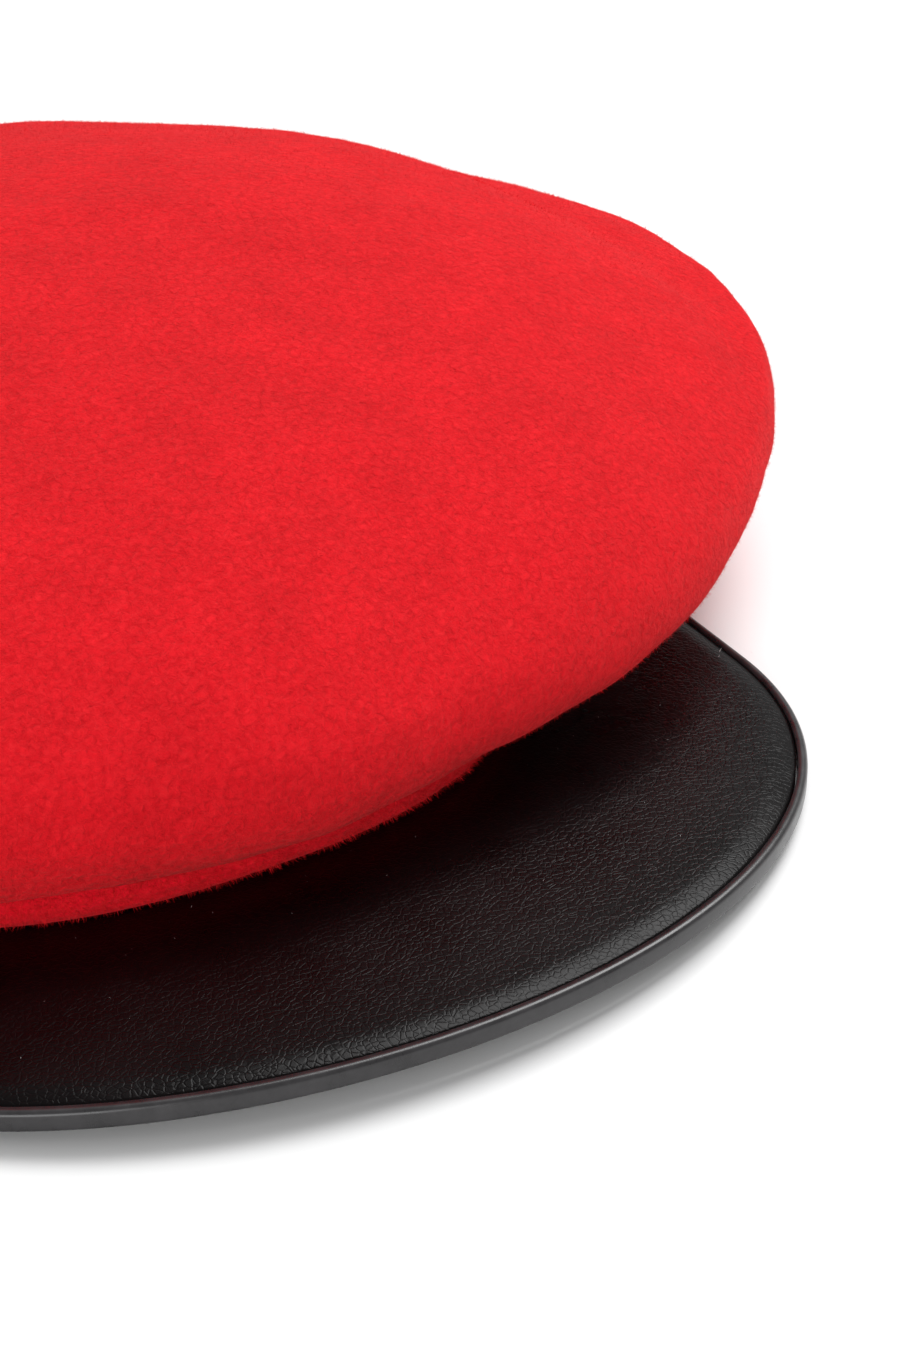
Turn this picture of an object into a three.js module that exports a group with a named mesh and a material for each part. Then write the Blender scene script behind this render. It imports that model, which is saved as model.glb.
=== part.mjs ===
import * as THREE from 'three';

// A peaked wool beret lying on a flat surface, in millimetres. +Z is up, the peak points to -Y, and the
// surface is z = 0. Angles turn from the front (-Y) towards the wearer's left (+X).

// Felt crown: a soft dome over a widest line, the rim, and an underside that closes in to the head opening.
// The rim rises from the back towards the sides, and droops again at the front, where the dome is fuller.
const CROWN_HALF_WIDTH = 146.6;
const CROWN_HALF_LENGTH = 133;
const CROWN_CENTRE_Y = 18.6;
const CROWN_WALL = 2.5;
const DOME_RISE = 41.5;
const APEX_SETBACK = 8;
const RIM_RISE_SHOULDER = 19.5;
const RIM_RISE_BACK = 6.5;
const RIM_DROOP_FRONT = 10;
const FRONT_TUCK = 5.5;
const FRONT_FROM_DEGREES = 82;
const FRONT_FULL_DEGREES = 20;
const FOLD_DEPTH = 3;

// Head opening, an oval with slightly flattened sides
const OPENING_HALF_WIDTH = 76;
const OPENING_HALF_LENGTH = 88;
const OPENING_CENTRE_X = -8;
const OPENING_CENTRE_Y = -8.4;
const OPENING_SQUARENESS = 2.4;

// Felt band round the opening, which stands on the surface at the back and on the peak at the front
const BAND_THICKNESS = 4;
const BAND_BULGE = 1.2;
const BAND_HEIGHT_BACK = 12;
const BAND_HEIGHT_FRONT = 5.5;
const BAND_RAMP_DEGREES = 18;

// Leather peak, arched from side to side so that only its two sides touch the surface
const PEAK_HALF_WIDTH = 97.5;
const PEAK_REACH = 72.3;
const PEAK_CENTRE_Y = -79.3;
const PEAK_SIDE_LENGTH = 19;
const PEAK_HORN_LENGTH = 28;
const PEAK_THICKNESS = 4;
const PEAK_ARCH = 4.9;
const PEAK_EDGE_ROLL = 5;
const PEAK_EDGE_DROP = 0.7;

// Smooth strip bound round the peak's outer edge
const EDGE_DEPTH = 1.6;
const EDGE_LIP = 0.4;

// Clearance between neighbouring pieces
const GAP = 0.3;

// Sections round the crown and the band, and along the peak
const TURNS = 72;
const PEAK_STEPS = 56;
const POINTS_PER_STATION = 2;

// Crown sections, from the apex to the rim: distance out as a share of the way to the rim, and height
// above the rim as a share of the dome's rise there, at the sides and back and at the fuller front
const CROWN_TOP = [
  { out: 0.04, up: 1.0, upFront: 1.0 },
  { out: 0.2, up: 0.978, upFront: 0.98 },
  { out: 0.38, up: 0.905, upFront: 0.925 },
  { out: 0.55, up: 0.784, upFront: 0.835 },
  { out: 0.7, up: 0.615, upFront: 0.714 },
  { out: 0.82, up: 0.42, upFront: 0.572 },
  { out: 0.91, up: 0.285, upFront: 0.415 },
  { out: 0.96, up: 0.2, upFront: 0.28 },
  { out: 0.988, up: 0.145, upFront: 0.16 },
  { out: 1.0, up: 0.0, upFront: 0.0 },
];

// Crown sections, from the rim to the opening: distance inward as a share of the way to the opening, and
// drop as a share of the rim's height above the band
const CROWN_UNDERSIDE = [
  { inward: 0.035, down: 0.32 },
  { inward: 0.12, down: 0.6 },
  { inward: 0.26, down: 0.82 },
  { inward: 0.46, down: 0.95 },
  { inward: 0.7, down: 1.0 },
  { inward: 1.0, down: 1.0 },
];

// Soft folds of the felt: where the fold is centred, in degrees round the crown and in shares along the
// section (0 at the apex, 1 at the rim, 2 at the opening), how far it fades out either way, how much
// further along it lies for each degree round, and its depth as a share of the fold depth
const FOLDS = [
  { name: 'left shoulder', turn: 78, spread: 30, along: 0.9, fade: 0.05, slant: -0.004, depth: 0.5 },
  { name: 'right shoulder', turn: -82, spread: 34, along: 0.9, fade: 0.06, slant: 0.003, depth: 0.4 },
  { name: 'behind the top', turn: 165, spread: 42, along: 0.5, fade: 0.2, slant: 0, depth: 0.7 },
  { name: 'back left dip', turn: 118, spread: 14, along: 0.93, fade: 0.12, slant: 0, depth: 0.8 },
  { name: 'front right', turn: -15, spread: 7, along: 0.95, fade: 0.3, slant: -0.02, depth: 0.45 },
  { name: 'front middle', turn: -2, spread: 8, along: 1.05, fade: 0.2, slant: 0, depth: -0.35 },
  { name: 'front left', turn: 12, spread: 8, along: 1.0, fade: 0.25, slant: 0.01, depth: 0.35 },
  { name: 'under the left front', turn: 27, spread: 20, along: 1.35, fade: 0.2, slant: 0, depth: 0.6 },
  { name: 'under the right front', turn: -30, spread: 20, along: 1.35, fade: 0.14, slant: 0, depth: -0.35 },
];

const smoothStep = (edge0, edge1, value) => THREE.MathUtils.smoothstep(value, edge0, edge1);

// Heights that the pieces share
function peakTop(x) {
  return PEAK_THICKNESS + PEAK_ARCH * (1 - (x / PEAK_HALF_WIDTH) ** 2);
}

function bandTop(turn) {
  const front = peakTop(0) + GAP + BAND_HEIGHT_FRONT;
  return THREE.MathUtils.lerp(BAND_HEIGHT_BACK, front, (1 + Math.cos(turn)) / 2);
}

function crownSeat(turn) {
  return bandTop(turn) + GAP;
}

// How far a section belongs to the full front of the crown, from 0 at the sides to 1
function frontShare(turn) {
  const degrees = Math.abs(THREE.MathUtils.euclideanModulo(THREE.MathUtils.radToDeg(turn) + 180, 360) - 180);
  return 1 - smoothStep(FRONT_FULL_DEGREES, FRONT_FROM_DEGREES, degrees);
}

function rimHeight(turn) {
  const rise = THREE.MathUtils.lerp(RIM_RISE_BACK, RIM_RISE_SHOULDER, (1 + Math.cos(turn)) / 2);
  return crownSeat(turn) + rise - RIM_DROOP_FRONT * frontShare(turn);
}

// A point of the head opening's oval, moved outward by a margin
function openingPoint(turn, margin) {
  const across = Math.abs(Math.sin(turn) / OPENING_HALF_WIDTH) ** OPENING_SQUARENESS;
  const along = Math.abs(Math.cos(turn) / OPENING_HALF_LENGTH) ** OPENING_SQUARENESS;
  const radius = (across + along) ** (-1 / OPENING_SQUARENESS) + margin;
  const x = OPENING_CENTRE_X + radius * Math.sin(turn);
  return new THREE.Vector3(x, OPENING_CENTRE_Y - radius * Math.cos(turn), 0);
}

// A closed body from rings of points. Neighbouring rings are joined all round. Where the rings don't run
// in a loop, the first and the last are closed by fans round their centres.
function bodyFromRings(rings, ringsLoop) {
  const count = rings[0].length;
  const points = rings.flat();
  const triangles = [];
  const lastJoin = ringsLoop ? rings.length : rings.length - 1;
  for (let i = 0; i < lastJoin; i++) {
    const here = i * count;
    const next = ((i + 1) % rings.length) * count;
    for (let j = 0; j < count; j++) {
      const k = (j + 1) % count;
      triangles.push(here + j, next + j, next + k, here + j, next + k, here + k);
    }
  }
  if (!ringsLoop) {
    const lastRing = (rings.length - 1) * count;
    const firstCentre = points.length;
    for (const ring of [rings[0], rings[rings.length - 1]]) {
      const centre = new THREE.Vector3();
      ring.forEach((point) => centre.addScaledVector(point, 1 / count));
      points.push(centre);
    }
    for (let j = 0; j < count; j++) {
      const k = (j + 1) % count;
      triangles.push(firstCentre, j, k, firstCentre + 1, lastRing + k, lastRing + j);
    }
  }
  const geometry = new THREE.BufferGeometry();
  geometry.setFromPoints(points);
  geometry.setIndex(triangles);
  geometry.computeVertexNormals();
  return geometry;
}

// Outward normals of a surface given as rings of points
function surfaceNormals(rings) {
  const count = rings[0].length;
  return rings.map((ring, i) => ring.map((point, j) => {
    const before = rings[Math.max(i - 1, 0)][j];
    const after = rings[Math.min(i + 1, rings.length - 1)][j];
    const alongSection = new THREE.Vector3().subVectors(after, before);
    const round = new THREE.Vector3().subVectors(ring[(j + 1) % count], ring[(j + count - 1) % count]);
    return alongSection.cross(round).normalize();
  }));
}

function offsetRings(rings, distance) {
  const normals = surfaceNormals(rings);
  return rings.map((ring, i) => ring.map((point, j) => {
    const step = typeof distance === 'function' ? distance(i, j) : distance;
    return point.clone().addScaledVector(normals[i][j], step);
  }));
}

// How far along its section each ring of the crown lies: 0 at the apex, 1 at the rim, 2 at the opening
const STATION_ALONG = [
  ...CROWN_TOP.map(({ out }) => out),
  ...CROWN_UNDERSIDE.map(({ inward }) => 1 + inward),
];
const CROWN_RINGS = POINTS_PER_STATION * (STATION_ALONG.length - 1) + 1;

function ringAlong(ring) {
  const station = Math.min(Math.floor(ring / POINTS_PER_STATION), STATION_ALONG.length - 2);
  const share = ring / POINTS_PER_STATION - station;
  return THREE.MathUtils.lerp(STATION_ALONG[station], STATION_ALONG[station + 1], share);
}

function foldDepth(turn, along) {
  const degrees = THREE.MathUtils.radToDeg(turn);
  let depth = 0;
  for (const fold of FOLDS) {
    const round = THREE.MathUtils.euclideanModulo(degrees - fold.turn + 180, 360) - 180;
    const down = along - fold.along - fold.slant * round;
    depth += fold.depth * Math.exp(-((round / fold.spread) ** 2) - (down / fold.fade) ** 2);
  }
  return FOLD_DEPTH * depth;
}

// One section of the crown's outer side, from the apex over the rim to the opening
function crownSection(turn) {
  const front = frontShare(turn);
  const rimX = CROWN_HALF_WIDTH * Math.sin(turn);
  const rimY = CROWN_CENTRE_Y - CROWN_HALF_LENGTH * Math.cos(turn) + FRONT_TUCK * front;
  const rim = new THREE.Vector3(rimX, rimY, rimHeight(turn));
  const apex = new THREE.Vector3(0, CROWN_CENTRE_Y + APEX_SETBACK, rimHeight(Math.PI / 2));
  const opening = openingPoint(turn, 0).setZ(crownSeat(turn));

  const apexHeight = apex.z + DOME_RISE;
  const top = CROWN_TOP.map(({ out, up, upFront }) => {
    const point = new THREE.Vector3().lerpVectors(apex, rim, out);
    const side = point.z + DOME_RISE * up;
    return point.setZ(THREE.MathUtils.lerp(side, THREE.MathUtils.lerp(rim.z, apexHeight, upFront), front));
  });
  const underside = CROWN_UNDERSIDE.map(({ inward, down }) => {
    const point = new THREE.Vector3().lerpVectors(rim, opening, inward);
    return point.setZ(THREE.MathUtils.lerp(rim.z, opening.z, down));
  });
  const curve = new THREE.CatmullRomCurve3([...top, ...underside], false, 'centripetal');
  const points = curve.getPoints(CROWN_RINGS - 1);
  points.forEach((point) => point.setZ(Math.max(point.z, opening.z)));
  return points;
}

function crownGeometry() {
  const turns = Array.from({ length: TURNS }, (_, j) => (2 * Math.PI * j) / TURNS);
  const sections = turns.map(crownSection);
  const smooth = Array.from({ length: CROWN_RINGS }, (_, i) => sections.map((section) => section[i]));
  const outer = offsetRings(smooth, (i, j) => -foldDepth(turns[j], ringAlong(i)));
  const inner = offsetRings(outer, -CROWN_WALL);
  return bodyFromRings([...outer, ...inner.reverse()], false);
}

// The horns end at the band's outside. Their points are found from the opening's centre.
function hornFromCentre() {
  const y = PEAK_CENTRE_Y + PEAK_SIDE_LENGTH + PEAK_HORN_LENGTH - OPENING_CENTRE_Y;
  const share = Math.min(Math.abs(y) / (OPENING_HALF_LENGTH + BAND_THICKNESS), 1);
  const x = (1 - share ** OPENING_SQUARENESS) ** (1 / OPENING_SQUARENESS);
  return new THREE.Vector2((OPENING_HALF_WIDTH + BAND_THICKNESS) * x, y);
}

// Angle round the opening at which the peak's horns end
function hornTurn() {
  const horn = hornFromCentre();
  return Math.atan2(horn.x, -horn.y);
}

// The peak's outline in plan, from its right horn (-X) round the front to its left horn, moved inward by
// a margin. A half ellipse at the front, two straight sides, and two rounded horns that end at the band.
function peakOutline(margin) {
  const horn = hornFromCentre();
  const hornY = OPENING_CENTRE_Y + horn.y;
  const sideEndY = PEAK_CENTRE_Y + PEAK_SIDE_LENGTH;
  const rightX = OPENING_CENTRE_X - horn.x;
  const leftX = OPENING_CENTRE_X + horn.x;
  const rightWidth = rightX + PEAK_HALF_WIDTH;
  const leftWidth = PEAK_HALF_WIDTH - leftX;
  const path = new THREE.Path();
  path.moveTo(rightX, hornY);
  path.absellipse(rightX, sideEndY, rightWidth, PEAK_HORN_LENGTH, Math.PI / 2, Math.PI, false);
  path.lineTo(-PEAK_HALF_WIDTH, PEAK_CENTRE_Y);
  path.absellipse(0, PEAK_CENTRE_Y, PEAK_HALF_WIDTH, PEAK_REACH, Math.PI, 2 * Math.PI, false);
  path.lineTo(PEAK_HALF_WIDTH, sideEndY);
  path.absellipse(leftX, sideEndY, leftWidth, PEAK_HORN_LENGTH, 0, Math.PI / 2, false);
  const points = path.getSpacedPoints(PEAK_STEPS);
  return points.map((point, i) => {
    const before = points[Math.max(i - 1, 0)];
    const after = points[Math.min(i + 1, PEAK_STEPS)];
    const inward = new THREE.Vector2(before.y - after.y, after.x - before.x).normalize();
    return point.clone().addScaledVector(inward, margin);
  });
}

function peakGeometry() {
  const edge = peakOutline(EDGE_DEPTH + GAP);
  const endTurn = hornTurn();
  const rings = edge.map((outer, i) => {
    const turn = THREE.MathUtils.lerp(-endTurn, endTurn, i / PEAK_STEPS);
    const inner = openingPoint(turn, 0);
    const width = Math.hypot(outer.x - inner.x, outer.y - inner.y);
    const roll = Math.min(PEAK_EDGE_ROLL / width, 0.5);
    const at = (share, height) => {
      const x = THREE.MathUtils.lerp(outer.x, inner.x, share);
      const y = THREE.MathUtils.lerp(outer.y, inner.y, share);
      return new THREE.Vector3(x, y, peakTop(x) - PEAK_THICKNESS + height);
    };
    return [
      at(0, PEAK_THICKNESS - PEAK_EDGE_DROP),
      at(roll * 0.3, PEAK_THICKNESS - PEAK_EDGE_DROP * 0.4),
      at(roll, PEAK_THICKNESS),
      at(0.5 + roll / 2, PEAK_THICKNESS),
      at(1, PEAK_THICKNESS),
      at(1, 0),
      at(0.5 + roll / 2, 0),
      at(roll, 0),
      at(0, 0),
    ];
  });
  return bodyFromRings(rings, false);
}

// The edge strip has a rounded outer side and stands a little lower than the leather's top
const EDGE_SECTION = [
  { out: 0.0, up: 1.0 },
  { out: 0.0, up: 0.0 },
  { out: 0.55, up: 0.0 },
  { out: 1.0, up: 0.25 },
  { out: 1.0, up: 0.72 },
  { out: 0.6, up: 1.0 },
];

function edgeGeometry() {
  const inside = peakOutline(EDGE_DEPTH);
  const outside = peakOutline(0);
  const height = PEAK_THICKNESS - EDGE_LIP;
  const rings = inside.map((inner, i) => EDGE_SECTION.map(({ out, up }) => {
    const plan = new THREE.Vector2().lerpVectors(inner, outside[i], out);
    const floor = peakTop(plan.x) - PEAK_THICKNESS;
    return new THREE.Vector3(plan.x, plan.y, floor + height * up);
  }));
  return bodyFromRings(rings, false);
}

// The band's foot follows the peak's top at the front, and ramps down to the surface behind the horns
function bandFoot(turn, x) {
  const fromFront = Math.abs(THREE.MathUtils.euclideanModulo(turn + Math.PI, 2 * Math.PI) - Math.PI);
  const rampStart = hornTurn() + (2 * Math.PI) / TURNS;
  const rampEnd = rampStart + THREE.MathUtils.degToRad(BAND_RAMP_DEGREES);
  const onPeak = 1 - smoothStep(rampStart, rampEnd, fromFront);
  return onPeak * (peakTop(x) + GAP);
}

// Stations of the band's section, from the top inside over the rounded outside to the foot inside
const BAND_SECTION = [
  { out: 0, up: 1.0, bulge: 0 },
  { out: 1, up: 1.0, bulge: 0 },
  { out: 1, up: 0.8, bulge: 0.7 },
  { out: 1, up: 0.5, bulge: 1.0 },
  { out: 1, up: 0.2, bulge: 0.7 },
  { out: 1, up: 0.0, bulge: 0 },
  { out: 0, up: 0.0, bulge: 0 },
];

function bandGeometry() {
  const rings = BAND_SECTION.map(({ out, up, bulge }) => Array.from({ length: TURNS }, (_, j) => {
    const turn = (2 * Math.PI * j) / TURNS;
    const point = openingPoint(turn, out * BAND_THICKNESS + bulge * BAND_BULGE);
    const foot = bandFoot(turn, point.x);
    return point.setZ(THREE.MathUtils.lerp(foot, bandTop(turn), up));
  }));
  return bodyFromRings(rings, true);
}

function mesh(name, geometry, material) {
  const piece = new THREE.Mesh(geometry, material);
  piece.name = name;
  return piece;
}

const crownFelt = new THREE.MeshStandardMaterial({ color: 0xdb1a2c, roughness: 0.95, metalness: 0 });
const bandFelt = new THREE.MeshStandardMaterial({ color: 0xc4172b, roughness: 0.95, metalness: 0 });
const leather = new THREE.MeshStandardMaterial({ color: 0x0d0a0b, roughness: 0.38, metalness: 0 });
const edgeBinding = new THREE.MeshStandardMaterial({ color: 0x1a191a, roughness: 0.3, metalness: 0 });

const beret = new THREE.Group();
beret.add(mesh('crown', crownGeometry(), crownFelt));
beret.add(mesh('band', bandGeometry(), bandFelt));
beret.add(mesh('peak', peakGeometry(), leather));
beret.add(mesh('peak_edge', edgeGeometry(), edgeBinding));

export default beret;
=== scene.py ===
"""A peaked wool beret: red felt crown and band, black leather peak, lying on a pale studio floor."""
import math

import bpy
import numpy as np
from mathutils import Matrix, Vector


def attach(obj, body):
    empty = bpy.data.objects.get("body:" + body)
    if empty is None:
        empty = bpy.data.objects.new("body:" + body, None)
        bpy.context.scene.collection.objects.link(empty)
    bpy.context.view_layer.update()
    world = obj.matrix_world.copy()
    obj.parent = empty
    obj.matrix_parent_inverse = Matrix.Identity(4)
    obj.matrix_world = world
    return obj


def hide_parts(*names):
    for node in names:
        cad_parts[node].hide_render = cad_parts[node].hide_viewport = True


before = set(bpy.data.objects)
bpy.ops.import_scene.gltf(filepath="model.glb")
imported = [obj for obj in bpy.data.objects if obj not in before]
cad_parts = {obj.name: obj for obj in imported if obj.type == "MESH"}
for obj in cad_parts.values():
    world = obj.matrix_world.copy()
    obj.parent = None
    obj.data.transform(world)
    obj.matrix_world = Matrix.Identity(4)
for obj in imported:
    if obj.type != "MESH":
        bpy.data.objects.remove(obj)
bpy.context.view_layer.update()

# Sizes below are in millimetres, and MM turns them into the scene's metres
MM = 0.001

# Felt crown
CROWN_HALF_WIDTH = 146.6
CROWN_HALF_LENGTH = 133.0
CROWN_CENTRE_Y = 18.6
CROWN_WALL = 2.5
DOME_RISE = 41.5
APEX_SETBACK = 8.0
RIM_RISE_SHOULDER = 19.5
RIM_RISE_BACK = 6.5
RIM_DROOP_FRONT = 10.0
FRONT_TUCK = 5.5
FRONT_FROM_DEGREES = 82.0
FRONT_FULL_DEGREES = 20.0
FOLD_DEPTH = 3.0

# Head opening
OPENING_HALF_WIDTH = 76.0
OPENING_HALF_LENGTH = 88.0
OPENING_CENTRE = (-8.0, -8.4)
OPENING_SQUARENESS = 2.4

# Felt band
BAND_THICKNESS = 4.0
BAND_BULGE = 1.2
BAND_HEIGHT_BACK = 12.0
BAND_HEIGHT_FRONT = 5.5
BAND_RAMP_DEGREES = 18.0

# Leather peak and the strip round its edge
PEAK_HALF_WIDTH = 97.5
PEAK_REACH = 72.3
PEAK_CENTRE_Y = -79.3
PEAK_SIDE_LENGTH = 19.0
PEAK_HORN_LENGTH = 28.0
PEAK_THICKNESS = 4.0
PEAK_ARCH = 4.9
PEAK_EDGE_ROLL = 5.0
PEAK_EDGE_DROP = 0.7
EDGE_DEPTH = 1.6
EDGE_LIP = 0.4

GAP = 0.3

# Crown sections: shares of the way from the apex to the rim, and of the dome's rise above the rim at the
# sides and back and at the fuller front
CROWN_TOP = [
    {"out": 0.04, "up": 1.0, "up_front": 1.0},
    {"out": 0.2, "up": 0.978, "up_front": 0.98},
    {"out": 0.38, "up": 0.905, "up_front": 0.925},
    {"out": 0.55, "up": 0.784, "up_front": 0.835},
    {"out": 0.7, "up": 0.615, "up_front": 0.714},
    {"out": 0.82, "up": 0.42, "up_front": 0.572},
    {"out": 0.91, "up": 0.285, "up_front": 0.415},
    {"out": 0.96, "up": 0.2, "up_front": 0.28},
    {"out": 0.988, "up": 0.145, "up_front": 0.16},
    {"out": 1.0, "up": 0.0, "up_front": 0.0},
]

# Shares of the way from the rim to the opening, and of the rim's height above the band
CROWN_UNDERSIDE = [
    {"inward": 0.035, "down": 0.32},
    {"inward": 0.12, "down": 0.6},
    {"inward": 0.26, "down": 0.82},
    {"inward": 0.46, "down": 0.95},
    {"inward": 0.7, "down": 1.0},
    {"inward": 1.0, "down": 1.0},
]

# Soft folds, each with its centre in degrees round the crown, its spread in degrees, its place along the
# section, how far it fades out there, how much further along it lies for each degree round, and its depth
# as a share of the fold depth
FOLDS = {
    "left shoulder": (78, 30, 0.9, 0.05, -0.004, 0.5),
    "right shoulder": (-82, 34, 0.9, 0.06, 0.003, 0.4),
    "behind the top": (165, 42, 0.5, 0.2, 0, 0.7),
    "back left dip": (118, 14, 0.93, 0.12, 0, 0.8),
    "front right": (-15, 7, 0.95, 0.3, -0.02, 0.45),
    "front middle": (-2, 8, 1.05, 0.2, 0, -0.35),
    "front left": (12, 8, 1.0, 0.25, 0.01, 0.35),
    "under left": (27, 20, 1.35, 0.2, 0, 0.6),
    "under right": (-30, 20, 1.35, 0.14, 0, -0.35),
}

# Relief on the felt and the leather: height, length of its waves and seed
CROWN_RELIEF = [(0.3, 60, 3), (0.12, 17, 5), (0.05, 6, 7)]
BAND_RELIEF = [(0.22, 9, 17), (0.1, 3, 19)]
PEAK_RELIEF = [(0.03, 32, 31)]

# The crown's relief fades out between these two places along the section
RELIEF_FULL_TO = 1.45
RELIEF_NONE_FROM = 1.75

# Nap: amount, length and width of the fibres, the least and most angle they stand off by, and seed
CROWN_NAP = {"amount": 190000, "length": 0.95, "width": 0.075, "lift": (0.05, 0.75), "seed": 11}
BAND_NAP = {"amount": 70000, "length": 1.3, "width": 0.08, "lift": (0.1, 1.1), "seed": 23}
CROWN_NAP_SHARE = 0.93
BAND_NAP_RINGS = slice(8, 29)

# Pale flecks on the leather
LINT = {"amount": 420, "length": 0.55, "width": 0.16, "lift": (0.02, 0.5), "seed": 41}
LINT_TURN = 1.0
LINT_CLEAR_OF_BAND = 3.0
LINT_REACH = 44.0
LINT_GATHERING = 1.8
LINT_SINK = 0.15
LINT_MARGIN = 6.0

# Fineness of the visible meshes
CROWN_TURNS = 320
POINTS_PER_STATION = 9
BAND_TURNS = 360
PEAK_STEPS = 420

# Camera, from the photograph: a 100 mm lens on a picture 36 mm high
CAMERA_AZIMUTH = -31.35
CAMERA_ELEVATION = 31.38
CAMERA_DISTANCE = 674.1
CAMERA_TARGET = (65.9, -33.5, -14.1)
LENS = 100.0
PICTURE_HEIGHT = 36.0

# Studio, in the scene's own metres and watts. A light's azimuth is measured as the camera's is.
FLOOR_HALF = 3.0
WORLD_STRENGTH = 0.44
LIGHT_TARGET = (0, 0, 0.03)
LIGHTS = [
    {"name": "key", "azimuth": 105, "elevation": 55, "distance": 1.3, "size": 0.8, "power": 17},
    {"name": "front", "azimuth": -45, "elevation": 14, "distance": 1.5, "size": 0.9, "power": 12},
]


def lerp(a, b, share):
    return a + (b - a) * share


def smooth_step(low, high, value):
    share = np.clip((value - low) / (high - low), 0, 1)
    return share * share * (3 - 2 * share)


def soft_noise(points, wavelength, seed, waves=28):
    """Smooth random relief of about -1 to 1, from plane waves in random directions."""
    rng = np.random.default_rng(seed)
    directions = rng.normal(size=(waves, 3))
    directions /= np.linalg.norm(directions, axis=1, keepdims=True)
    numbers = 2 * math.pi / (wavelength * rng.uniform(0.7, 1.5, waves))
    phases = rng.uniform(0, 2 * math.pi, waves)
    total = np.sin(points @ (directions * numbers[:, None]).T + phases).sum(-1)
    return total / math.sqrt(waves)


def relief_height(points, rows):
    return sum(height * soft_noise(points, length, seed) for height, length, seed in rows)


# Shapes shared by the pieces

def peak_top(x):
    return PEAK_THICKNESS + PEAK_ARCH * (1 - (x / PEAK_HALF_WIDTH) ** 2)


def frontness(turn):
    return (1 + np.cos(turn)) / 2


def band_top(turn):
    front = peak_top(0) + GAP + BAND_HEIGHT_FRONT
    return lerp(BAND_HEIGHT_BACK, front, frontness(turn))


def crown_seat(turn):
    return band_top(turn) + GAP


def front_share(turn):
    """How far a section belongs to the full front of the crown, from 0 at the sides to 1."""
    degrees = np.abs((np.degrees(turn) + 180) % 360 - 180)
    return 1 - smooth_step(FRONT_FULL_DEGREES, FRONT_FROM_DEGREES, degrees)


def rim_height(turn):
    rise = lerp(RIM_RISE_BACK, RIM_RISE_SHOULDER, frontness(turn))
    return crown_seat(turn) + rise - RIM_DROOP_FRONT * front_share(turn)


def opening_plan(turn, margin):
    """Plan point of the head opening's oval, moved outward by a margin."""
    across = np.abs(np.sin(turn) / OPENING_HALF_WIDTH) ** OPENING_SQUARENESS
    along = np.abs(np.cos(turn) / OPENING_HALF_LENGTH) ** OPENING_SQUARENESS
    radius = (across + along) ** (-1 / OPENING_SQUARENESS) + margin
    return OPENING_CENTRE[0] + radius * np.sin(turn), OPENING_CENTRE[1] - radius * np.cos(turn)


def surface_normals(rings):
    """Outward normals of a grid of rings that run round the same way."""
    along = np.empty_like(rings)
    along[1:-1] = rings[2:] - rings[:-2]
    along[0] = rings[1] - rings[0]
    along[-1] = rings[-1] - rings[-2]
    around = np.roll(rings, -1, axis=1) - np.roll(rings, 1, axis=1)
    normals = np.cross(along, around)
    return normals / np.linalg.norm(normals, axis=2, keepdims=True)


def centripetal_spline(controls, per_station):
    """Points on the centripetal Catmull-Rom curve through controls, for many curves at once."""
    first = 2 * controls[0] - controls[1]
    last = 2 * controls[-1] - controls[-2]
    path = np.concatenate([first[None], controls, last[None]])
    rows = []
    for k in range(1, len(path) - 2):
        p0, p1, p2, p3 = path[k - 1:k + 3]
        legs = ((p0, p1), (p1, p2), (p2, p3))
        d0, d1, d2 = [np.sqrt(np.linalg.norm(b - a, axis=-1, keepdims=True)) for a, b in legs]
        m1 = ((p1 - p0) / d0 - (p2 - p0) / (d0 + d1) + (p2 - p1) / d1) * d1
        m2 = ((p2 - p1) / d1 - (p3 - p1) / (d1 + d2) + (p3 - p2) / d2) * d1
        for t in np.arange(per_station) / per_station:
            cubic = (2 * t**3 - 3 * t**2 + 1) * p1 + (t**3 - 2 * t**2 + t) * m1
            rows.append(cubic + (3 * t**2 - 2 * t**3) * p2 + (t**3 - t**2) * m2)
    rows.append(controls[-1])
    return np.array(rows)


# Mesh making

def ring_faces(ring_count, count, loop):
    """Quads between neighbouring rings, and fans to two added centre points where the rings don't loop."""
    last = ring_count if loop else ring_count - 1
    i, j = np.meshgrid(np.arange(last), np.arange(count), indexing="ij")
    here = i * count
    following = ((i + 1) % ring_count) * count
    k = (j + 1) % count
    faces = np.stack([here + j, following + j, following + k, here + k], -1).reshape(-1, 4).tolist()
    if not loop:
        j = np.arange(count)
        k = (j + 1) % count
        centre = ring_count * count
        end = (ring_count - 1) * count
        faces += np.stack([np.full(count, centre), j, k], -1).tolist()
        faces += np.stack([np.full(count, centre + 1), end + k, end + j], -1).tolist()
    return faces


def add_object(name, points, faces, material):
    mesh = bpy.data.meshes.new(name)
    mesh.from_pydata((points * MM).tolist(), [], faces)
    mesh.materials.append(material)
    mesh.shade_smooth()
    piece = bpy.data.objects.new(name, mesh)
    bpy.context.collection.objects.link(piece)
    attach(piece, "root")
    return piece


def body_from_rings(name, rings, loop, material):
    points = rings.reshape(-1, 3)
    if not loop:
        points = np.concatenate([points, rings[0].mean(0)[None], rings[-1].mean(0)[None]])
    return add_object(name, points, ring_faces(len(rings), rings.shape[1], loop), material)


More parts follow.
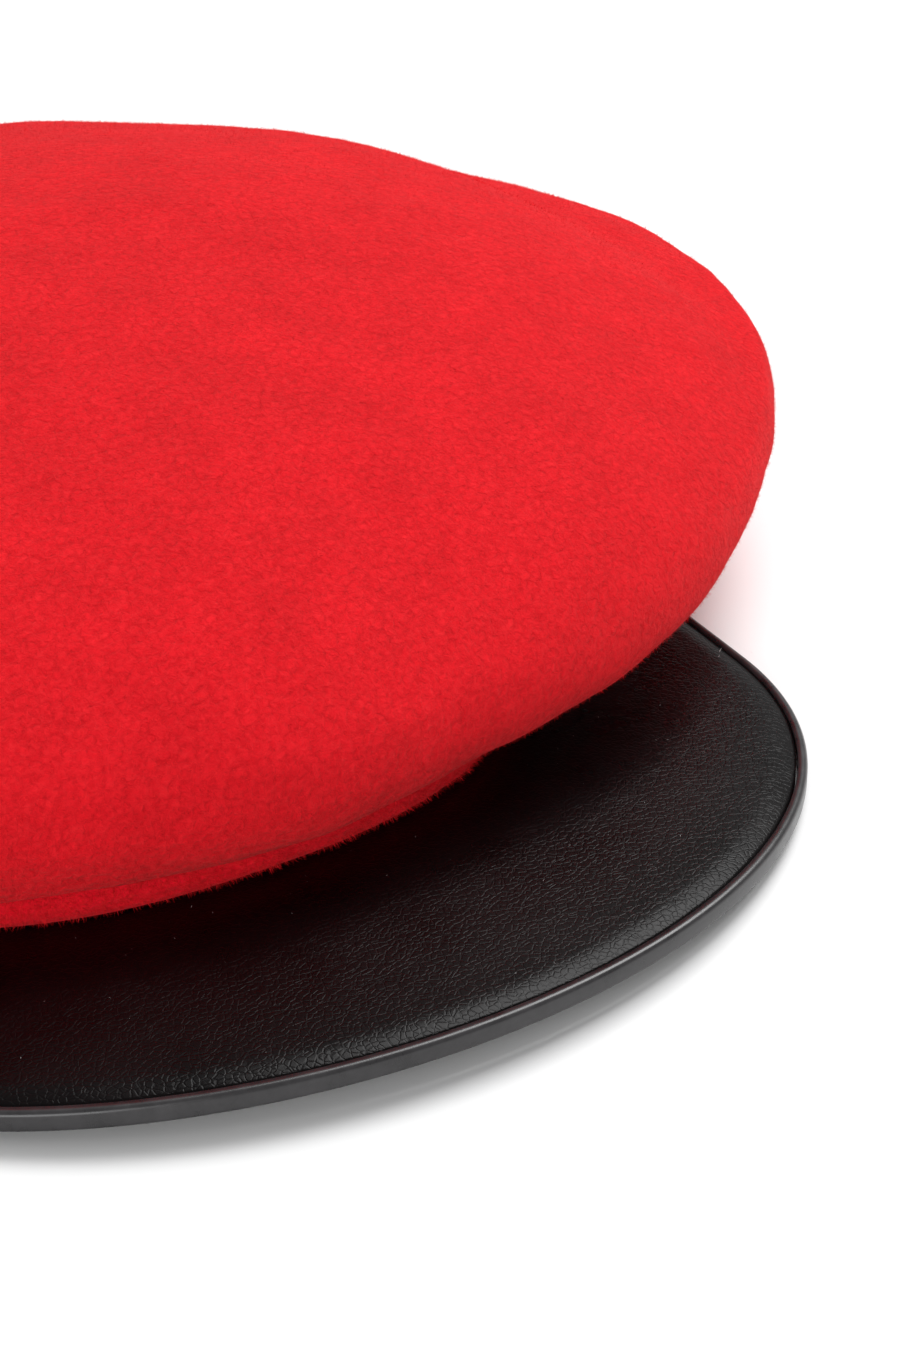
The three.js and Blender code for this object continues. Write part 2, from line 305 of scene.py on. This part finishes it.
def scatter(rings, amount, rng):
    """Random points on a grid of rings, even over its area, with their normals."""
    normals = surface_normals(rings)
    right = np.roll(rings, -1, axis=1)
    across = right[:-1] - rings[:-1]
    down = rings[1:] - rings[:-1]
    area = np.linalg.norm(np.cross(across, down), axis=2).ravel()
    cell = rng.choice(area.size, amount, p=area / area.sum())
    i, j = np.divmod(cell, rings.shape[1])
    k = (j + 1) % rings.shape[1]
    u = rng.random((amount, 1))
    v = rng.random((amount, 1))

    def blend(grid):
        return lerp(lerp(grid[i, j], grid[i, k], u), lerp(grid[i + 1, j], grid[i + 1, k], u), v)

    normal = blend(normals)
    return blend(rings), normal / np.linalg.norm(normal, axis=1, keepdims=True)


def fibres(name, roots, normals, kind, material, rng):
    """One thin triangle for each fibre, leaning any way by the angle that the kind's lift gives."""
    amount = len(roots)
    random = rng.normal(size=(amount, 3))
    side = random - (random * normals).sum(1, keepdims=True) * normals
    side /= np.linalg.norm(side, axis=1, keepdims=True)
    angle = rng.uniform(*kind["lift"], (amount, 1))
    lengths = kind["length"] * rng.uniform(0.45, 1.3, (amount, 1))
    tip = roots + lengths * (np.sin(angle) * normals + np.cos(angle) * side)
    wide = np.cross(side, normals) * kind["width"] / 2
    base = roots - normals * kind["width"]
    points = np.stack([base - wide, base + wide, tip], 1).reshape(-1, 3)
    return add_object(name, points, np.arange(3 * amount).reshape(-1, 3).tolist(), material)


# Materials

class Nodes:
    """A material's node tree, with short calls for the nodes used here."""

    def __init__(self, name):
        self.material = bpy.data.materials.new(name)
        self.material.use_nodes = True
        self.tree = self.material.node_tree
        self.shader = self.tree.nodes["Principled BSDF"]
        self.place = self.tree.nodes.new("ShaderNodeTexCoord").outputs["Object"]

    def link(self, source, target):
        self.tree.links.new(source, target)

    def noise(self, size_mm, detail=3.0, roughness=0.55, distortion=0.0):
        node = self.tree.nodes.new("ShaderNodeTexNoise")
        node.inputs["Scale"].default_value = 1 / (size_mm * MM)
        node.inputs["Detail"].default_value = detail
        node.inputs["Roughness"].default_value = roughness
        node.inputs["Distortion"].default_value = distortion
        self.link(self.place, node.inputs["Vector"])
        return node.outputs["Fac"]

    def cells(self, size_mm, place):
        node = self.tree.nodes.new("ShaderNodeTexVoronoi")
        node.feature = "DISTANCE_TO_EDGE"
        node.inputs["Scale"].default_value = 1 / (size_mm * MM)
        self.link(place, node.inputs["Vector"])
        return node.outputs["Distance"]

    def ramp(self, value, *stops):
        node = self.tree.nodes.new("ShaderNodeValToRGB")
        elements = node.color_ramp.elements
        while len(elements) < len(stops):
            elements.new(0.5)
        for element, (position, colour) in zip(elements, stops):
            element.position = position
            element.color = (*colour, 1.0)
        self.link(value, node.inputs["Fac"])
        return node.outputs["Color"]

    def spread(self, value, low, high, out_low=0.0, out_high=1.0):
        node = self.tree.nodes.new("ShaderNodeMapRange")
        limits = {"From Min": low, "From Max": high, "To Min": out_low, "To Max": out_high}
        for key, number in limits.items():
            node.inputs[key].default_value = number
        self.link(value, node.inputs["Value"])
        return node.outputs["Result"]

    def mix(self, share, a, b, mode="MIX"):
        node = self.tree.nodes.new("ShaderNodeMix")
        node.data_type = "RGBA"
        node.blend_type = mode
        for socket, value in ((node.inputs["Factor"], share), (node.inputs["A"], a), (node.inputs["B"], b)):
            if hasattr(value, "is_output"):
                self.link(value, socket)
            else:
                socket.default_value = value if socket.type == "VALUE" else (*value, 1.0)
        return node.outputs["Result"]

    def bend(self, amount_mm, size_mm):
        """The place, pushed about by noise, for grain that wanders."""
        noise = self.tree.nodes.new("ShaderNodeTexNoise")
        noise.inputs["Scale"].default_value = 1 / (size_mm * MM)
        self.link(self.place, noise.inputs["Vector"])
        scaled = self.tree.nodes.new("ShaderNodeVectorMath")
        scaled.operation = "MULTIPLY_ADD"
        scaled.inputs[1].default_value = (amount_mm * MM,) * 3
        self.link(noise.outputs["Color"], scaled.inputs[0])
        self.link(self.place, scaled.inputs[2])
        return scaled.outputs[0]

    def bump(self, height, depth_mm, strength=1.0, under=None):
        node = self.tree.nodes.new("ShaderNodeBump")
        node.inputs["Distance"].default_value = depth_mm * MM
        node.inputs["Strength"].default_value = strength
        self.link(height, node.inputs["Height"])
        if under:
            self.link(under, node.inputs["Normal"])
        return node.outputs["Normal"]

    def set(self, **values):
        for key, value in values.items():
            socket = self.shader.inputs[key.replace("_", " ")]
            if hasattr(value, "is_output"):
                self.link(value, socket)
            else:
                socket.default_value = value
        return self.material


def felt(name, deep, plain, light, matting_mm):
    """Wool felt: matted clumps of fibre, slow mottling and a soft sheen."""
    n = Nodes(name)
    clumps = n.noise(matting_mm, detail=5, roughness=0.65, distortion=0.6)
    mottling = n.noise(14, detail=3)
    grain = n.noise(0.5, detail=2)
    colour = n.ramp(clumps, (0.32, deep), (0.52, plain), (0.72, light))
    shade = n.ramp(mottling, (0.3, (0.86, 0.82, 0.82)), (0.7, (1.0, 1.0, 1.0)))
    relief = n.bump(grain, 0.25, 0.5, under=n.bump(clumps, 0.9, 0.8))
    return n.set(
        Base_Color=n.mix(1.0, colour, shade, "MULTIPLY"),
        Roughness=0.92,
        Specular_IOR_Level=0.15,
        Sheen_Weight=0.12,
        Sheen_Roughness=0.45,
        Sheen_Tint=(1.0, 0.3, 0.25, 1.0),
        Normal=relief,
    )


def felt_fibre(name, deep, light):
    """Single wool fibres that stand off the felt."""
    n = Nodes(name)
    return n.set(
        Base_Color=n.ramp(n.noise(1.1, detail=2), (0.35, deep), (0.65, light)),
        Roughness=0.85,
        Specular_IOR_Level=0.1,
        Sheen_Weight=0.1,
        Sheen_Tint=(1.0, 0.3, 0.25, 1.0),
    )


def grained_leather():
    """Black leather: a very fine grain, with a soft gloss and rubbed patches."""
    n = Nodes("black_grained_leather")
    cells = n.cells(1.1, n.bend(1.6, 3.5))
    pores = n.noise(0.35, detail=2)
    patches = n.noise(18, detail=4)
    grain = n.bump(n.spread(cells, 0.0, 0.16), 0.09, 0.3)
    return n.set(
        Base_Color=n.ramp(patches, (0.3, (0.001, 0.0004, 0.0005)), (0.7, (0.002, 0.0008, 0.001))),
        Roughness=n.spread(patches, 0.3, 0.7, 0.25, 0.31),
        Specular_IOR_Level=0.1,
        Normal=n.bump(pores, 0.01, 0.2, under=grain),
    )


def painted_edge():
    """Smooth satin paint on the peak's edge, with faint scuffs."""
    n = Nodes("satin_painted_edge")
    scuffs = n.noise(5, detail=6, roughness=0.7)
    return n.set(
        Base_Color=n.ramp(scuffs, (0.35, (0.012, 0.011, 0.012)), (0.7, (0.03, 0.028, 0.03))),
        Roughness=n.spread(scuffs, 0.3, 0.7, 0.24, 0.36),
        Specular_IOR_Level=0.5,
        Normal=n.bump(n.noise(2.5, detail=3), 0.05, 0.25),
    )


def lint_material():
    n = Nodes("pale_lint")
    colour = n.ramp(n.noise(6), (0.4, (0.5, 0.44, 0.44)), (0.6, (0.8, 0.76, 0.76)))
    return n.set(Base_Color=colour, Roughness=0.9)


def floor_material():
    n = Nodes("pale_floor")
    colour = n.ramp(n.noise(400), (0.3, (0.86, 0.86, 0.86)), (0.7, (0.9, 0.9, 0.9)))
    return n.set(Base_Color=colour, Roughness=0.8)


# Crown

def station_along():
    """How far along its section each ring lies: 0 at the apex, 1 at the rim, 2 at the opening."""
    stations = [row["out"] for row in CROWN_TOP] + [1 + row["inward"] for row in CROWN_UNDERSIDE]
    rings = np.arange(POINTS_PER_STATION * (len(stations) - 1) + 1) / POINTS_PER_STATION
    return np.interp(rings, np.arange(len(stations)), stations)


def fold_depth(turn, along):
    degrees = np.degrees(turn)
    depth = 0.0
    for centre, spread, place, fade, slant, share in FOLDS.values():
        around = (degrees - centre + 180) % 360 - 180
        down = along - place - slant * around
        depth = depth + share * np.exp(-((around / spread) ** 2) - (down / fade) ** 2)
    return FOLD_DEPTH * depth


def crown_surface():
    """The crown's outer side as rings from the apex over the rim to the opening."""
    turn = np.arange(CROWN_TURNS) * 2 * math.pi / CROWN_TURNS
    rim_x = CROWN_HALF_WIDTH * np.sin(turn)
    rim_y = CROWN_CENTRE_Y - CROWN_HALF_LENGTH * np.cos(turn) + FRONT_TUCK * front_share(turn)
    rim = np.stack([rim_x, rim_y, rim_height(turn)], -1)
    apex = np.array([0, CROWN_CENTRE_Y + APEX_SETBACK, rim_height(math.pi / 2)])
    opening = np.stack([*opening_plan(turn, 0), crown_seat(turn)], -1)
    controls = []
    for row in CROWN_TOP:
        point = lerp(apex, rim, row["out"])
        side = point[:, 2] + DOME_RISE * row["up"]
        front = lerp(rim[:, 2], apex[2] + DOME_RISE, row["up_front"])
        point[:, 2] = lerp(side, front, front_share(turn))
        controls.append(point)
    for row in CROWN_UNDERSIDE:
        point = lerp(rim, opening, row["inward"])
        point[:, 2] = lerp(rim[:, 2], opening[:, 2], row["down"])
        controls.append(point)
    rings = centripetal_spline(np.array(controls), POINTS_PER_STATION)
    rings[:, :, 2] = np.maximum(rings[:, :, 2], opening[:, 2])
    along = station_along()[:, None]
    rings = rings - surface_normals(rings) * fold_depth(turn[None], along)[:, :, None]
    return rings, along


def make_crown(material, fibre_material):
    plain, along = crown_surface()
    free = smooth_step(RELIEF_NONE_FROM, RELIEF_FULL_TO, along)
    relief = relief_height(plain, CROWN_RELIEF)
    outer = plain + surface_normals(plain) * (relief * free)[:, :, None]
    inner = plain - surface_normals(plain) * CROWN_WALL
    rings = np.concatenate([outer, inner[::-1]])
    crown = body_from_rings("felt_crown", rings, False, material)
    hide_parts("crown")
    rng = np.random.default_rng(CROWN_NAP["seed"])
    visible = outer[: int(CROWN_NAP_SHARE * len(outer))]
    for part in ("a", "b"):
        roots, normals = scatter(visible, CROWN_NAP["amount"], rng)
        fibres(f"crown_nap_{part}", roots, normals, CROWN_NAP, fibre_material, rng)


# Band

def horn_from_centre():
    y = PEAK_CENTRE_Y + PEAK_SIDE_LENGTH + PEAK_HORN_LENGTH - OPENING_CENTRE[1]
    share = min(abs(y) / (OPENING_HALF_LENGTH + BAND_THICKNESS), 1)
    x = (1 - share**OPENING_SQUARENESS) ** (1 / OPENING_SQUARENESS)
    return (OPENING_HALF_WIDTH + BAND_THICKNESS) * x, y


def horn_turn():
    x, y = horn_from_centre()
    return math.atan2(x, -y)


def band_foot(turn, x):
    """The band's foot follows the peak's top, and ramps down to the floor behind the horns."""
    from_front = np.abs((turn + math.pi) % (2 * math.pi) - math.pi)
    ramp_start = horn_turn() + math.radians(5)
    on_peak = 1 - smooth_step(ramp_start, ramp_start + math.radians(BAND_RAMP_DEGREES), from_front)
    return on_peak * (peak_top(x) + GAP)


BAND_SECTION = [
    {"out": 0.0, "up": 1.0, "bulge": 0.0},
    {"out": 1.0, "up": 1.0, "bulge": 0.0},
    {"out": 1.0, "up": 0.8, "bulge": 0.7},
    {"out": 1.0, "up": 0.5, "bulge": 1.0},
    {"out": 1.0, "up": 0.2, "bulge": 0.7},
    {"out": 1.0, "up": 0.0, "bulge": 0.0},
    {"out": 0.0, "up": 0.0, "bulge": 0.0},
]


def make_band(material, fibre_material):
    turn = np.arange(BAND_TURNS) * 2 * math.pi / BAND_TURNS
    stations = np.arange(len(BAND_SECTION))
    steps = np.linspace(0, len(BAND_SECTION) - 1, 6 * (len(BAND_SECTION) - 1) + 1)
    rings = []
    for step in steps:
        tables = [[row[key] for row in BAND_SECTION] for key in ("out", "up", "bulge")]
        out, up, bulge = [np.interp(step, stations, table) for table in tables]
        x, y = opening_plan(turn, out * BAND_THICKNESS + bulge * BAND_BULGE)
        foot = band_foot(turn, x)
        rings.append(np.stack([x, y, lerp(foot, band_top(turn), up)], -1))
    rings = np.array(rings)
    outside = smooth_step(0.9, 1.4, steps) * smooth_step(5.0, 4.5, steps)
    relief = relief_height(rings, BAND_RELIEF)
    rings[:, :, :2] += surface_normals(rings)[:, :, :2] * (relief * outside[:, None])[:, :, None]
    band = body_from_rings("felt_band", rings, True, material)
    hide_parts("band")
    rng = np.random.default_rng(BAND_NAP["seed"])
    roots, normals = scatter(rings[BAND_NAP_RINGS], BAND_NAP["amount"], rng)
    fibres("band_nap", roots, normals, BAND_NAP, fibre_material, rng)


# Peak and its edge

def arc(centre, radii, start, end, count):
    angle = np.linspace(start, end, count)
    return np.stack([centre[0] + radii[0] * np.cos(angle), centre[1] + radii[1] * np.sin(angle)], -1)


def peak_outline(margin):
    """The peak's outline in plan from horn to horn round the front, moved inward by a margin."""
    horn_x, horn_y = horn_from_centre()
    side_end = PEAK_CENTRE_Y + PEAK_SIDE_LENGTH
    right = OPENING_CENTRE[0] - horn_x
    left = OPENING_CENTRE[0] + horn_x
    quarter = math.pi / 2
    path = np.concatenate([
        arc((right, side_end), (right + PEAK_HALF_WIDTH, PEAK_HORN_LENGTH), quarter, 2 * quarter, 200),
        arc((0, PEAK_CENTRE_Y), (PEAK_HALF_WIDTH, PEAK_REACH), 2 * quarter, 4 * quarter, 900),
        arc((left, side_end), (PEAK_HALF_WIDTH - left, PEAK_HORN_LENGTH), 0, quarter, 200),
    ])
    lengths = np.concatenate([[0], np.cumsum(np.linalg.norm(np.diff(path, axis=0), axis=1))])
    even = np.linspace(0, lengths[-1], PEAK_STEPS + 1)
    points = np.stack([np.interp(even, lengths, path[:, k]) for k in (0, 1)], -1)
    ahead = np.gradient(points, axis=0)
    inward = np.stack([-ahead[:, 1], ahead[:, 0]], -1)
    return points + margin * inward / np.linalg.norm(inward, axis=1, keepdims=True)


def make_peak(material):
    outer = peak_outline(EDGE_DEPTH + GAP)
    turn = np.linspace(-horn_turn(), horn_turn(), PEAK_STEPS + 1)
    inner = np.stack(opening_plan(turn, 0), -1)
    width = np.linalg.norm(outer - inner, axis=1)
    roll = np.minimum(PEAK_EDGE_ROLL / width, 0.5)

    def at(share, height):
        plan = lerp(outer, inner, share[:, None])
        return np.column_stack([plan, peak_top(plan[:, 0]) - PEAK_THICKNESS + height])

    columns = []
    for step in np.linspace(0, 1, 9)[:-1]:
        drop = PEAK_EDGE_DROP * (1 - step) ** 2
        columns.append(at(roll * step, np.full(len(roll), PEAK_THICKNESS - drop)))
    for step in np.linspace(0, 1, 24):
        columns.append(at(lerp(roll, 1, step), np.full(len(roll), PEAK_THICKNESS)))
    for step in np.linspace(1, 0, 10):
        columns.append(at(np.full(len(roll), step), np.zeros(len(roll))))
    rings = np.stack(columns, 1)
    top = rings[:, :30]
    waves = relief_height(top, PEAK_RELIEF)
    top[:, :, 2] += waves - waves.max()
    peak = body_from_rings("leather_peak", rings, False, material)
    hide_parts("peak")


def make_peak_edge(material):
    inside = peak_outline(EDGE_DEPTH)
    outside = peak_outline(0)
    height = PEAK_THICKNESS - EDGE_LIP
    columns = []
    corner = 0.8 / height
    section = [(0.0, 1.0), (0.0, 0.0)]
    for angle in np.linspace(-math.pi / 2, 0, 7):
        section.append((0.5 + 0.5 * math.cos(angle), corner + corner * math.sin(angle)))
    for angle in np.linspace(0, math.pi / 2, 7):
        section.append((0.5 + 0.5 * math.cos(angle), 1 - corner + corner * math.sin(angle)))
    for out, up in section:
        plan = lerp(inside, outside, out)
        columns.append(np.column_stack([plan, peak_top(plan[:, 0]) - PEAK_THICKNESS + height * up]))
    edge = body_from_rings("peak_edge_strip", np.stack(columns, 1), False, material)
    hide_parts("peak_edge")


def make_lint(material):
    """Pale flecks on the leather, most of them near the felt."""
    rng = np.random.default_rng(LINT["seed"])
    turn = rng.uniform(-LINT_TURN, LINT_TURN, LINT["amount"])
    gathered = rng.random(LINT["amount"]) ** LINT_GATHERING
    reach = BAND_THICKNESS + LINT_CLEAR_OF_BAND + LINT_REACH * gathered
    x, y = opening_plan(turn, reach)
    points = np.column_stack([x, y, peak_top(x) - LINT_SINK])
    across = x / (PEAK_HALF_WIDTH - LINT_MARGIN)
    forward = (y - PEAK_CENTRE_Y) / (PEAK_REACH - LINT_MARGIN)
    inside = across**2 + forward**2 < 1
    points = points[inside | (y > PEAK_CENTRE_Y)]
    up = np.tile([0.0, 0.0, 1.0], (len(points), 1))
    fibres("peak_lint", points, up, LINT, material, rng)


# Studio

def make_floor(material):
    mesh = bpy.data.meshes.new("floor")
    corners = [(-1, -1), (1, -1), (1, 1), (-1, 1)]
    points = [(x * FLOOR_HALF, y * FLOOR_HALF, 0) for x, y in corners]
    mesh.from_pydata(points, [], [(0, 1, 2, 3)])
    mesh.materials.append(material)
    floor = bpy.data.objects.new("floor", mesh)
    bpy.context.collection.objects.link(floor)


def look_at(thing, target):
    thing.rotation_euler = (Vector(target) - thing.location).to_track_quat("-Z", "Y").to_euler()


def add_area_light(name, azimuth, elevation, distance, size, power):
    """A square soft light that looks at the beret."""
    data = bpy.data.lights.new(name, "AREA")
    data.size = size
    data.energy = power
    light = bpy.data.objects.new(name, data)
    a, e = math.radians(azimuth), math.radians(elevation)
    light.location = Vector((math.sin(a) * math.cos(e), -math.cos(a) * math.cos(e), math.sin(e))) * distance
    bpy.context.collection.objects.link(light)
    look_at(light, LIGHT_TARGET)


def make_camera():
    data = bpy.data.cameras.new("camera")
    data.sensor_fit = "VERTICAL"
    data.sensor_height = PICTURE_HEIGHT
    data.lens = LENS
    camera = bpy.data.objects.new("camera", data)
    bpy.context.collection.objects.link(camera)
    a, e = math.radians(CAMERA_AZIMUTH), math.radians(CAMERA_ELEVATION)
    back = Vector((math.sin(a) * math.cos(e), -math.cos(a) * math.cos(e), math.sin(e)))
    target = Vector(CAMERA_TARGET) * MM
    camera.location = target + back * CAMERA_DISTANCE * MM
    look_at(camera, target)
    bpy.context.scene.camera = camera


def make_world():
    world = bpy.data.worlds.new("studio")
    world.use_nodes = True
    background = world.node_tree.nodes["Background"]
    background.inputs["Color"].default_value = (1, 1, 1, 1)
    background.inputs["Strength"].default_value = WORLD_STRENGTH
    bpy.context.scene.world = world


make_camera()
make_world()
for light in LIGHTS:
    add_area_light(**light)
make_floor(floor_material())

crown_felt = felt("red_wool_felt", (0.6, 0.003, 0.009), (0.76, 0.007, 0.015), (0.85, 0.014, 0.022), 1.2)
# The band gets a lighter copy of the crown's red felt. This is painted light: it stands in for the front
# light the band catches below the crown.
band_felt_painted_lighter = felt("red_band_felt_painted_lighter", (0.7, 0.002, 0.012), (0.9, 0.005, 0.02), (0.98, 0.01, 0.028), 1.4)
nap = felt_fibre("red_wool_fibre", (0.62, 0.006, 0.011), (0.85, 0.018, 0.024))
make_crown(crown_felt, nap)
make_band(band_felt_painted_lighter, nap)
make_peak(grained_leather())
make_peak_edge(painted_edge())
make_lint(lint_material())

bpy.context.scene.view_settings.view_transform = "Standard"
